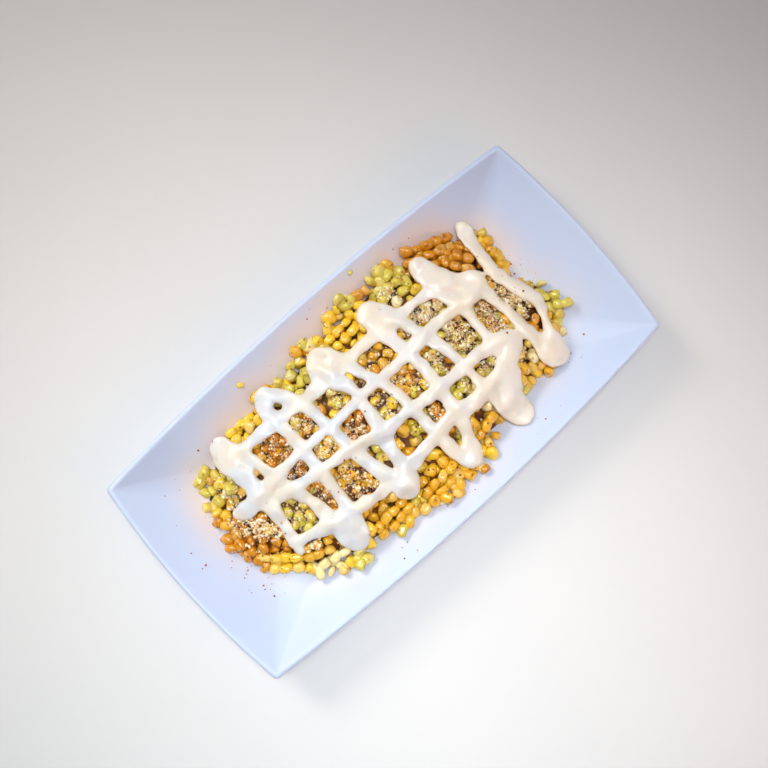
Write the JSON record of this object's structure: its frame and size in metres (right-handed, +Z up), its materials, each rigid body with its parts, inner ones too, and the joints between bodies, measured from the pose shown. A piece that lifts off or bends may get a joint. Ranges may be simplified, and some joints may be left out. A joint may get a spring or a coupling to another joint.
{
  "type": "elote platter",
  "caption": "Sweetcorn kernels cut off the cob, heaped on a white rectangular dish with flared sides and drizzled with a lattice of crema.",
  "frame": {"origin": "under the middle of the dish, on the surface that it stands on", "axes": "+X along the dish, towards the end where one strand of crema lies across the heap; +Y across the dish; +Z up"},
  "size_m": [0.3492, 0.1772, 0.0389],
  "materials": {
    "porcelain": "gloss white glaze",
    "sweetcorn": "moist, half gloss",
    "crema": "smooth and wet"
  },
  "bodies": {
    "root": {"dish": "porcelain", "corn_heap": "sweetcorn", "crema": "crema", "stray_kernel_1": "sweetcorn", "stray_kernel_2": "sweetcorn"}
  },
  "joints": []
}
